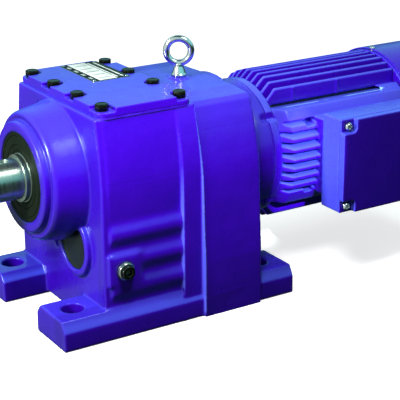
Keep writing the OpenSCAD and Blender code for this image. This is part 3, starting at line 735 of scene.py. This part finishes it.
def cross_screw(name, place, r, h, key, shank=8.0, rs=2.5):
    """Pan head with a cross recess, head from local z 0 up."""
    segs = 96
    V, F = [], []
    prof = fillet([(r, 0.0), (r, h * 0.5), (r * 0.72, h), (0.0, h)], [0, r * 0.16, r * 0.3, 0], 5)
    rr = np.linspace(r * 0.70, 0.0, 15)[:-1]
    rings = [p for p in prof if p[0] > r * 0.72] + [(q, h) for q in rr]
    def depth(x, y):
        w = 0.17 * r
        d = 0.0
        for u, v in ((x, y), (y, x)):
            ex = smooth_step((0.62 * r - abs(u)) / (0.10 * r)) * smooth_step((w - abs(v)) / (0.09 * r))
            d = max(d, ex)
        return d * 0.45 * h * (1 - 0.35 * math.hypot(x, y) / r)
    for q, z in rings:
        for i in range(segs):
            a = 2 * math.pi * i / segs
            x, y = q * math.cos(a), q * math.sin(a)
            V.append((x, y, z - depth(x, y)))
    V.append((0, 0, h - depth(0, 0)))
    n = len(rings)
    for k in range(n - 1):
        for i in range(segs):
            j = (i + 1) % segs
            F.append((k * segs + i, k * segs + j, (k + 1) * segs + j, (k + 1) * segs + i))
    for i in range(segs):
        F.append(((n - 1) * segs + i, (n - 1) * segs + (i + 1) % segs, n * segs))
    F.append(tuple(reversed(range(segs))))
    V = [tuple(place @ Vector(v)) for v in V]
    head = obj_from(name, V, F, key)
    body = lathe(name + "_s", [(0.0, -shank), (rs * 0.8, -shank), (rs, -shank + 1), (rs, 0.1), (0.0, 0.1)], place, key, 32, 2, 0.2)
    return [head, body]


def smooth_step(t):
    t = min(1.0, max(0.0, t))
    return t * t * (3 - 2 * t)


parts = []
for i in (-1, 1):
    for j in (-1, 1):
        parts += cross_screw("ls", at(282 + i * 53.0, -143.0, 164 + j * 52.5, TO_MY @ RZ(20 + 31 * i + 17 * j)), 5.2, 4.4, "zinc", 18, 2.5)
stand(join(parts, "v_lid_screws"), "lid_screws")

parts = []
for k in range(4):
    a = math.radians(90 * k)
    d = Vector((0, -math.sin(a), math.cos(a)))
    rot = d.to_track_quat("Z", "Y").to_matrix().to_4x4()
    p = Vector((380.5, 0, 166)) + d * 101
    parts += cross_screw("cs", at(*p, rot), 4.0, 2.6, "zinc", 13, 2.0)
stand(join(parts, "v_cowl_screws"), "cowl_screws")

parts = []
for k in range(4):
    a = math.radians(45 + 90 * k)
    c = (384.0, -86 * math.sin(a), 166 + 86 * math.cos(a))
    parts.append(hexhead("es", 10, 4, at(*c, TO_PX @ RZ(13 * k)), "oxide", dish=0.4, segs=72))
    parts.append(lathe("ess", [(0, -28), (2.6, -28), (3, -27), (3, 0.1), (0, 0.1)], at(*c, TO_PX), "oxide", 32, 2, 0.2))
stand(join(parts, "v_end_shield_screws"), "end_shield_screws")

# blank rating plate rivets, domed
parts = []
for i in (-1, 1):
    for j in (-1, 1):
        parts.append(lathe("rv", [(0, -6.9), (1.4, -6.9), (1.4, 0), (2.3, 0.0), (2.2, 0.35), (1.3, 0.66), (0, 0.7)], at(-20 + i * 22.5, 53.5 + j * 42.5, 281), "zinc", 40, 4, 0.3))
stand(join(parts, "v_rivets"), "nameplate_rivets")

# ------------------------------------------------------------------ lifting eye
def torus(name, R, r, place, key, su=128, sv=48):
    V, F = [], []
    for i in range(su):
        a = 2 * math.pi * i / su
        for j in range(sv):
            b = 2 * math.pi * j / sv
            V.append(((R + r * math.cos(b)) * math.cos(a), (R + r * math.cos(b)) * math.sin(a), r * math.sin(b)))
    for i in range(su):
        for j in range(sv):
            p, q = (i + 1) % su, (j + 1) % sv
            F.append((i * sv + j, p * sv + j, p * sv + q, i * sv + q))
    V = [tuple(place @ Vector(v)) for v in V]
    return obj_from(name, V, F, key)


eye_at = at(71, 0, 273)
ring = torus("eye_ring", 15.5, 4.3, at(71, 0, 305.2, RZ(-31.8) @ RX(90)), "zinc")
foot_ = lathe("eye_foot", [(0, -12.9), (3.5, -12.9), (4, -12), (4, 0.05), (9.8, 0.05), (9.8, 3.0), (8.8, 3.9), (7.0, 9.0), (5.6, 13.0), (5.4, 15.5), (3.0, 18.0), (0, 18.0)], eye_at, "zinc", 96, 6, [0, 0.3, 0.3, 0.2, 0.8, 1.0, 1.2, 2.5, 3.0, 1.5, 1.0, 0])
eye = join([ring, foot_], "v_lifting_eye_bolt")
m = eye.modifiers.new("r", "REMESH")
m.mode = "VOXEL"
m.voxel_size = 0.42 * MM * 1
bake_modifiers(eye)
soften(eye.data, 5)
eye.data.shade_smooth()
stand(eye, "lifting_eye_bolt", key="zinc")

# ------------------------------------------------------------------ plugs, caps and seals
pl = at(-77, -119, 84, TO_MY)
a_ = lathe("olp_f", [(0, -13.9), (7.4, -13.9), (8, -13), (8, 1.5), (10.5, 1.5), (10.5, 3.6), (9.6, 4.5), (8.0, 4.6), (0, 4.6)], pl, "plug", 96, 4, 0.5)
b_ = hexhead("olp_h", 16, 5, pl @ RZ(8), "plug_head", z0=4.4, socket=8.0)
stand(join([a_, b_], "v_oil_level_plug"), "oil_level_plug")

pl = at(60, 128, 48, TO_PY)
a_ = lathe("odp_f", [(0, -13.9), (7.4, -13.9), (8, -13), (8, 1.5), (12.5, 1.5), (12.5, 3.6), (11.6, 4.5), (9.0, 4.6), (0, 4.6)], pl, "oxide", 96, 4, 0.5)
b_ = hexhead("odp_h", 17, 8, pl @ RZ(14), "oxide", z0=4.4)
stand(join([a_, b_], "v_oil_drain_plug"), "oil_drain_plug")

pl = at(-45, 118, 172, TO_PY)
a_ = lathe("brv_a", [(0, -12.9), (7.4, -12.9), (8, -12), (8, 1.5), (11.5, 1.5), (11.5, 1.7), (0, 1.7)], pl, "brass", 96, 3, 0.3)
b_ = hexhead("brv_h", 22, 7, pl @ RZ(5), "brass", z0=1.5, dish=0.0)
c_ = lathe("brv_c", [(0, 8.0), (5, 8.0), (5, 11.2), (9.2, 11.2), (9.5, 12.0), (9.5, 14.8), (8.9, 15.2), (8.9, 15.8), (9.5, 16.2), (9.3, 17.2), (7.4, 18.0), (0, 17.6)], pl, "brass", 96, 3, 0.5)
stand(join([a_, b_, c_], "v_breather_valve"), "breather_valve")

cc = at(0, YI * 1000, ZI * 1000, TO_MX)
cap = lathe("v_closing_cap", [(0, 104.4), (28.8, 104.4), (29.2, 100.2), (30.6, 100.2), (30.9, 106.4), (30.2, 107.1), (28.6, 107.1), (27.4, 106.4), (26.6, 106.0), (10.5, 106.3), (0, 106.4)], cc, "cap", 128, 5, [0, 0.6, 0.3, 0.3, 0.35, 0.3, 0.6, 0.8, 1.0, 4.0, 0])
stand(cap, "closing_cap")

so = at(0, 0, ZO * 1000, TO_MX)
seal = lathe("v_output_oil_seal", [(30.06, 140.6), (34, 139.6), (54.6, 139.6), (55, 140.2), (55, 150.6), (54.2, 151.45), (51.4, 151.45), (50.6, 150.3), (49.4, 150.3), (48.6, 151.3),
    (40.2, 151.3), (39.2, 150.2), (38.2, 150.2), (37.2, 151.2), (34.6, 151.2), (32.6, 150.4), (31.0, 149.4), (30.05, 149.0), (30.05, 148.2), (33, 147.2), (33, 144), (30.06, 142.4), (30.06, 140.6)], so, "rubber", 160, 4, 0.45)
stand(seal, "output_oil_seal")

# ------------------------------------------------------------------ blank rating plate
def rounded_rect(w, h, r, n=6):
    out = []
    for cx, cy, a0 in ((w / 2 - r, h / 2 - r, 0), (-w / 2 + r, h / 2 - r, 90), (-w / 2 + r, -h / 2 + r, 180), (w / 2 - r, -h / 2 + r, 270)):
        for k in range(n + 1):
            a = math.radians(a0 + 90 * k / n)
            out.append((cx + r * math.cos(a), cy + r * math.sin(a)))
    return out


def slab(name, outline, z0, z1, place, key, bevel=0.12):
    """A thin plate with a broken top edge."""
    c = np.mean(np.array(outline), 0)
    n = len(outline)
    V, F = [], []
    def ring(ins, z):
        for x, y in outline:
            d = np.array([x, y]) - c
            L = np.linalg.norm(d)
            q = c + d * (1 - ins / L)
            V.append((q[0], q[1], z))
    ring(0, z0); ring(0, z1 - bevel); ring(bevel * 0.4, z1 - bevel * 0.3); ring(bevel * 1.2, z1)
    for k in range(3):
        for i in range(n):
            j = (i + 1) % n
            F.append((k * n + i, k * n + j, (k + 1) * n + j, (k + 1) * n + i))
    F.append(tuple(range(3 * n, 4 * n)))
    F.append(tuple(reversed(range(n))))
    V = [tuple(place @ Vector(v)) for v in V]
    ob = obj_from(name, V, F, key)
    ob.data.set_sharp_from_angle(angle=math.radians(35))
    return ob


def print_mat(name, base, rough=0.32, smudge=0.5, spec=0.5):
    k = Mat(name)
    s = k.noise(70.0, 4.0, 0.65)
    f = k.noise(600.0, 2.0, 0.5)
    c = k.mix(k.math("MULTIPLY", k.ramp(s, [(0.45, 0.0), (0.75, 1.0)]), smudge), base, tuple(0.55 * v for v in base))
    k.color(c)
    k.rough(k.rng(s, 0.3, 0.7, rough - 0.06, rough + 0.1))
    k.normal(k.bump(f, 0.00003, 0.3))
    k.put(Specular_IOR_Level=spec)
    return k.m


M["p_white"] = print_mat("plate_white", (0.60, 0.66, 0.62), 0.4, 0.8, 0.3)
M["p_black"] = print_mat("plate_black", (0.006, 0.010, 0.009), 0.5, 0.2, 0.1)
M["p_green"] = print_mat("plate_green", (0.014, 0.040, 0.026), 0.45, 0.3, 0.12)
M["p_grey"] = print_mat("plate_grey", (0.30, 0.35, 0.33), 0.35, 0.4)
PC = at(-20, 53.5, 280)
parts = [slab("np_base", rounded_rect(52, 93, 2.0), 0.02, 0.72, PC, "alu", 0.15)]
parts.append(slab("np_rim", rounded_rect(51, 92, 1.8), 0.70, 0.80, PC, "p_black", 0.04))
def cell(x0, y0, x1, y1, z0, z1, key):
    q = rounded_rect(x1 - x0, y1 - y0, min(0.8, (x1 - x0) / 4, (y1 - y0) / 4), 3)
    return slab("np_c", [(a + (x0 + x1) / 2, b + (y0 + y1) / 2) for a, b in q], z0, z1, PC, key, 0.03)
# low-x strip: dark with four small light cells
for k in range(4):
    parts.append(cell(-22.6, -34.0 + 19.5 * k, -18.6, -25.0 + 19.5 * k, 0.78, 0.88, "p_grey"))
# centre field
parts.append(cell(-15.8, -44.4, 8.4, 44.4, 0.78, 0.88, "p_white"))
for k in range(5):
    parts.append(cell(-12.5, -36 + 16 * k, 5.0, -31.5 + 16 * k, 0.87, 0.93, "p_grey"))
# high-x side: dark green stripes between light ones
for k in range(4):
    parts.append(cell(10.0 + 3.9 * k, -40.0, 12.1 + 3.9 * k, 40.0, 0.78, 0.88, "p_green" if k % 2 else "p_white"))
stand(join(parts, "v_rating_plate"), "nameplate")

# ------------------------------------------------------------------ gasket, its outer edge painted over with the joint
def joint_ring(name, outer, inner, z0, z1, place, key):
    n = len(outer)
    V, F = [], []
    for loop, z in ((outer, z0), (outer, z1), (inner, z1), (inner, z0)):
        V += [(x, y, z) for x, y in loop]
    for k in range(4):
        a, b = k * n, ((k + 1) % 4) * n
        for i in range(n):
            j = (i + 1) % n
            F.append((a + i, a + j, b + j, b + i))
    V = [tuple(place @ Vector(v)) for v in V]
    return obj_from(name, V, F, key)


gk = joint_ring("v_cover_gasket", rounded_rect(124.2, 211.2, 10.6, 10), rounded_rect(84, 164, 3.0, 10), 266.9, 270.9, at(-36, 0, 0), "cover")
gk.data.set_sharp_from_angle(angle=math.radians(35))
stand(gk, "cover_gasket")

# ------------------------------------------------------------------ machined pieces kept close to the CAD
beveled("output_shaft", 0.5, "shaft", 3)
beveled("cable_gland", 0.6, "plastic", 3)
beveled("plug_sealing_rings", 0.25, "alu", 2)

# ------------------------------------------------------------------ stage, lights, camera
def floor():
    k = Mat("studio_floor")
    s = k.noise(3.0, 3.0, 0.5)
    k.color(k.mix(k.ramp(s, [(0.3, 0.0), (0.7, 1.0)]), (0.86, 0.86, 0.86), (0.89, 0.89, 0.89)))
    k.rough(k.rng(k.noise(20.0, 3.0), 0.3, 0.7, 0.75, 0.9))
    k.put(Specular_IOR_Level=0.1, Emission_Color=(1, 1, 1, 1), Emission_Strength=0.72)
    me = bpy.data.meshes.new("studio_floor")
    s = 14.0
    me.from_pydata([(-s, -s, -0.0005), (s, -s, -0.0005), (s, s, -0.0005), (-s, s, -0.0005)], [], [(0, 1, 2, 3)])
    ob = bpy.data.objects.new("studio_floor", me)
    SC.collection.objects.link(ob)
    me.materials.append(k.m)
    ob.visible_glossy = False
    ob.visible_diffuse = False


floor()


def area(name, loc, aim, size, power, col=(1, 1, 1), size_y=None):
    d = bpy.data.lights.new(name, "AREA")
    d.energy = power
    d.color = col
    d.size = size
    if size_y:
        d.shape = "RECTANGLE"
        d.size_y = size_y
    ob = bpy.data.objects.new(name, d)
    ob.location = loc
    ob.rotation_euler = (Vector(aim) - Vector(loc)).to_track_quat("-Z", "Y").to_euler()
    ob.visible_camera = False
    SC.collection.objects.link(ob)
    return ob


key = area("key", (-0.10, -0.325, 0.56), (-0.02, -0.10, 0.17), 0.14, 3.35, (1.0, 1.0, 1.0))
key.visible_glossy = False
top = area("top", (0.50, 0.10, 1.6), (0.15, 0.0, 0.2), 1.1, 8, (0.76, 1.0, 1.0))
top.visible_glossy = False
area("left", (-1.9, -0.28, 1.15), (-0.1, 0.0, 0.15), 0.25, 70, (0.97, 1.0, 1.0), 0.7)
strip = area("strip", (0.22, -0.66, 1.20), (-0.15, 0.0, 0.20), 0.42, 4.5, (0.96, 1.0, 0.98))
strip.visible_diffuse = False


def spot(name, loc, aim, power, angle, blend, size, col=(1, 1, 1), flat=1.0):
    d = bpy.data.lights.new(name, "SPOT")
    d.energy = power
    d.color = col
    d.spot_size = math.radians(angle)
    d.spot_blend = blend
    d.shadow_soft_size = size
    ob = bpy.data.objects.new(name, d)
    ob.location = loc
    ob.rotation_euler = (Vector(aim) - Vector(loc)).to_track_quat("-Z", "Y").to_euler()
    ob.scale = (flat, 1.0, 1.0)
    ob.visible_camera = False
    ob.visible_glossy = False
    SC.collection.objects.link(ob)
    return ob


# low light along the finned side
spot("fin_side", (0.04, -0.80, 0.56), (0.196, -0.095, 0.160), 70, 9.5, 0.3, 0.012, (0.80, 1.0, 1.0), 0.52)

w = bpy.data.worlds.new("studio")
SC.world = w
w.use_nodes = True
t = w.node_tree
out = t.nodes["World Output"]
tc = t.nodes.new("ShaderNodeTexCoord")
sep = t.nodes.new("ShaderNodeSeparateXYZ")
t.links.new(tc.outputs["Generated"], sep.inputs[0])


def sky(stops, strength):
    mr = t.nodes.new("ShaderNodeMapRange")
    mr.inputs["From Min"].default_value = -1
    mr.inputs["From Max"].default_value = 1
    t.links.new(sep.outputs["Z"], mr.inputs["Value"])
    rp = t.nodes.new("ShaderNodeValToRGB")
    el = rp.color_ramp.elements
    while len(el) < len(stops):
        el.new(0.5)
    for q, (p, c) in zip(el, stops):
        q.position = p
        q.color = (*c, 1)
    t.links.new(mr.outputs["Result"], rp.inputs["Fac"])
    bg = t.nodes.new("ShaderNodeBackground")
    bg.inputs["Strength"].default_value = strength
    t.links.new(rp.outputs["Color"], bg.inputs["Color"])
    return bg.outputs[0]


t.nodes.remove(t.nodes["Background"])
soft_sky = sky([(0.0, (0.09, 0.09, 0.09)), (0.49, (0.07, 0.07, 0.07)), (0.56, (0.20, 0.21, 0.22)), (0.75, (0.55, 0.58, 0.60)), (1.0, (0.8, 0.82, 0.84))], 0.26)
gloss_sky = sky([(0.0, (0.030, 0.060, 0.048)), (0.50, (0.016, 0.030, 0.024)), (0.545, (0.05, 0.12, 0.12)), (0.61, (0.20, 0.62, 0.64)), (0.70, (0.30, 0.80, 0.82)), (0.84, (0.34, 0.66, 0.64)), (0.91, (0.26, 0.48, 0.45)), (0.96, (0.05, 0.09, 0.075)), (1.0, (0.03, 0.05, 0.045))], 1.0)
near = t.nodes.new("ShaderNodeMapRange")
near.inputs["From Min"].default_value = -0.22
near.inputs["From Max"].default_value = -0.75
near.inputs["To Min"].default_value = 0.0
near.inputs["To Max"].default_value = 1.0
t.links.new(sep.outputs["X"], near.inputs["Value"])
paper = t.nodes.new("ShaderNodeBackground")
paper.inputs["Color"].default_value = (0.62, 0.74, 0.70, 1)
m0 = t.nodes.new("ShaderNodeMixShader")
t.links.new(near.outputs["Result"], m0.inputs[0])
t.links.new(gloss_sky, m0.inputs[1])
t.links.new(paper.outputs[0], m0.inputs[2])
gloss_sky = m0.outputs[0]
white = t.nodes.new("ShaderNodeBackground")
white.inputs["Color"].default_value = (1, 1, 1, 1)
lp = t.nodes.new("ShaderNodeLightPath")
m1 = t.nodes.new("ShaderNodeMixShader")
m2 = t.nodes.new("ShaderNodeMixShader")
t.links.new(lp.outputs["Is Glossy Ray"], m1.inputs[0])
t.links.new(soft_sky, m1.inputs[1])
t.links.new(gloss_sky, m1.inputs[2])
t.links.new(lp.outputs["Is Camera Ray"], m2.inputs[0])
t.links.new(m1.outputs[0], m2.inputs[1])
t.links.new(white.outputs[0], m2.inputs[2])
t.links.new(m2.outputs[0], out.inputs["Surface"])

cam_d = bpy.data.cameras.new("camera")
cam = bpy.data.objects.new("camera", cam_d)
SC.collection.objects.link(cam)
az, el_, roll = math.radians(-31.821), math.radians(19.859), math.radians(0.498)
back = Vector((math.sin(az) * math.cos(el_), -math.cos(az) * math.cos(el_), math.sin(el_)))
right = Vector((math.cos(az), math.sin(az), 0))
up = back.cross(right)
cxv = math.cos(roll) * right - math.sin(roll) * up
cyv = math.sin(roll) * right + math.cos(roll) * up
cam.matrix_world = Matrix(((cxv.x, cyv.x, back.x, -0.7647), (cxv.y, cyv.y, back.y, -1.3943), (cxv.z, cyv.z, back.z, 0.6940), (0, 0, 0, 1)))
cam_d.lens = 1332.2 / 400 * 36
cam_d.sensor_width = 36
cam_d.clip_start = 0.05
cam_d.clip_end = 60
SC.camera = cam
SC.view_settings.view_transform = "Standard"
SC.view_settings.look = "None"

# every piece stays inside the CAD box
lo, hi = (np.array(v) for v in CAD_BOX)
for ob in [o for o in SC.objects if o.type == "MESH" and o.name.startswith("v_")]:
    n = len(ob.data.vertices)
    co = np.empty(n * 3)
    ob.data.vertices.foreach_get("co", co)
    co = co.reshape(-1, 3)
    if (co < lo).any() or (co > hi).any():
        print("trimmed", ob.name, float(np.max(np.maximum(lo - co, co - hi))))
        ob.data.vertices.foreach_set("co", np.clip(co, lo, hi).ravel())
        ob.data.update()

bpy.context.view_layer.update()
